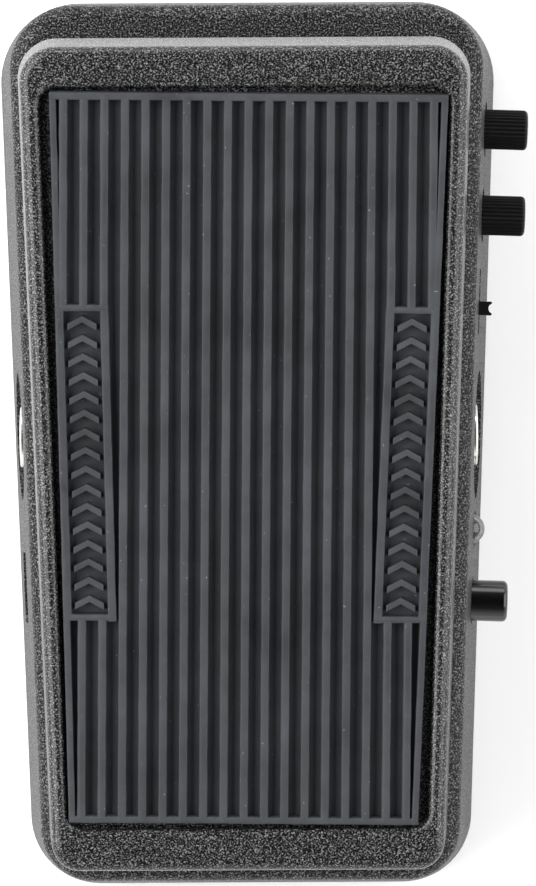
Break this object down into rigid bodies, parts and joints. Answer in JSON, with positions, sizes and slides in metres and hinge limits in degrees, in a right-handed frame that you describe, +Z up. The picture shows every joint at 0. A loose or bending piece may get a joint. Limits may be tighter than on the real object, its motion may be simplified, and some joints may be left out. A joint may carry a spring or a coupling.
{
  "type": "rocker pedal",
  "caption": "Compact die-cast rocker effects pedal with a ribbed rubber tread, rack-driven sensor, toe switch, side knobs, slide switch, push button and jack sockets.",
  "frame": {"origin": "on the floor below the middle of the whole part's box", "axes": "+X out of the control side, +Y towards the toe, +Z up"},
  "size_m": [0.0778, 0.1316, 0.0641],
  "materials": {
    "powder_coat": "coarse black powder coat",
    "pad_rubber": "matt moulded rubber",
    "plain_steel": "zinc-plated steel",
    "nickel_plate": "bright nickel plate",
    "bronze": "sintered bronze",
    "white_plastic": "acetal",
    "black_plastic": "fine satin",
    "gloss_black": "polished",
    "circuit_board": "solder mask",
    "ferrite": "sintered ferrite",
    "clear_lens": "clear epoxy"
  },
  "bodies": {
    "housing": {"base_housing": "powder_coat", "base_plate": "plain_steel", "base_plate_screw_1": "plain_steel", "base_plate_screw_2": "plain_steel", "base_plate_screw_3": "plain_steel", "base_plate_screw_4": "plain_steel", "rubber_foot_1": "pad_rubber", "rubber_foot_2": "pad_rubber", "rubber_foot_3": "pad_rubber", "rubber_foot_4": "pad_rubber", "pivot_bushing_left": "bronze", "pivot_bushing_right": "bronze", "rack_guide": "black_plastic", "sensor_pot_body": "plain_steel", "sensor_pot_bracket": "plain_steel", "sensor_pot_nut": "nickel_plate", "footswitch_body": "plain_steel", "footswitch_washer": "nickel_plate", "footswitch_nut": "nickel_plate", "heel_bumper_left": "pad_rubber", "heel_bumper_right": "pad_rubber", "toe_bumper_left": "pad_rubber", "toe_bumper_right": "pad_rubber", "main_circuit_board": "circuit_board", "side_circuit_board": "circuit_board", "control_pot_body_1": "black_plastic", "control_pot_body_2": "black_plastic", "range_switch_body": "plain_steel", "boost_switch_body": "black_plastic", "status_led": "clear_lens", "led_holder": "black_plastic", "input_jack_body": "black_plastic", "input_jack_bushing": "nickel_plate", "input_jack_nut": "nickel_plate", "output_jack_body": "black_plastic", "output_jack_bushing": "nickel_plate", "output_jack_nut": "nickel_plate", "dc_socket_body": "black_plastic", "dc_socket_pin": "nickel_plate", "inductor": "ferrite", "filter_capacitor": "black_plastic"},
    "rocker": {"treadle": "powder_coat", "tread_pad": "pad_rubber", "pivot_shaft": "plain_steel", "pivot_set_screw_left": "plain_steel", "pivot_set_screw_right": "plain_steel", "rack_hanger": "plain_steel", "rack_hanger_screw": "plain_steel", "rack_cross_pin": "plain_steel"},
    "rack": {"gear_rack": "white_plastic"},
    "pinion": {"pinion_gear": "white_plastic", "sensor_pot_shaft": "plain_steel"},
    "plunger": {"footswitch_plunger": "nickel_plate"},
    "knob_1": {"control_knob_1": "black_plastic", "control_pot_shaft_1": "plain_steel"},
    "knob_2": {"control_knob_2": "black_plastic", "control_pot_shaft_2": "plain_steel"},
    "range_slider": {"range_switch_slider": "black_plastic"},
    "push_button": {"boost_button": "gloss_black"}
  },
  "joints": [
    {"name": "treadle_tilt", "type": "hinge", "parent": "housing", "child": "rocker", "pos_m": [-0.00205, -0.002, 0.044], "axis": [-1, 0, 0], "range_deg": [0, 14.5]},
    {"name": "rack_slide", "type": "slide", "parent": "housing", "child": "rack", "axis": [0, 0, -1], "range_m": [0, 0.00556]},
    {"name": "pinion_spin", "type": "hinge", "parent": "housing", "child": "pinion", "pos_m": [-0.00205, 0.0124, 0.027], "axis": [-1, 0, 0], "range_deg": [0, 66.36]},
    {"name": "footswitch_press", "type": "slide", "parent": "housing", "child": "plunger", "axis": [0, 0, -1], "range_m": [0, 0.0025], "stiffness_N_per_m": 600, "springref_m": -0.001},
    {"name": "knob_1_turn", "type": "hinge", "parent": "housing", "child": "knob_1", "pos_m": [0.03468, 0.04547, 0.024], "axis": [0.9994, -0.036, 0], "range_deg": [-150, 150]},
    {"name": "knob_2_turn", "type": "hinge", "parent": "housing", "child": "knob_2", "pos_m": [0.03423, 0.03293, 0.024], "axis": [0.9994, -0.036, 0], "range_deg": [-150, 150]},
    {"name": "range_switch_slide", "type": "slide", "parent": "housing", "child": "range_slider", "axis": [0.036, 0.9994, 0], "range_m": [-0.002, 0.004]},
    {"name": "boost_button_press", "type": "slide", "parent": "housing", "child": "push_button", "axis": [-0.9994, 0.036, 0], "range_m": [0, 0.0015], "stiffness_N_per_m": 300, "springref_m": -0.0005}
  ],
  "couplings": [
    {"joint": "rack_slide", "follows": "treadle_tilt", "m_per_rad": 0.021952},
    {"joint": "pinion_spin", "follows": "treadle_tilt", "ratio": 4.5733}
  ]
}
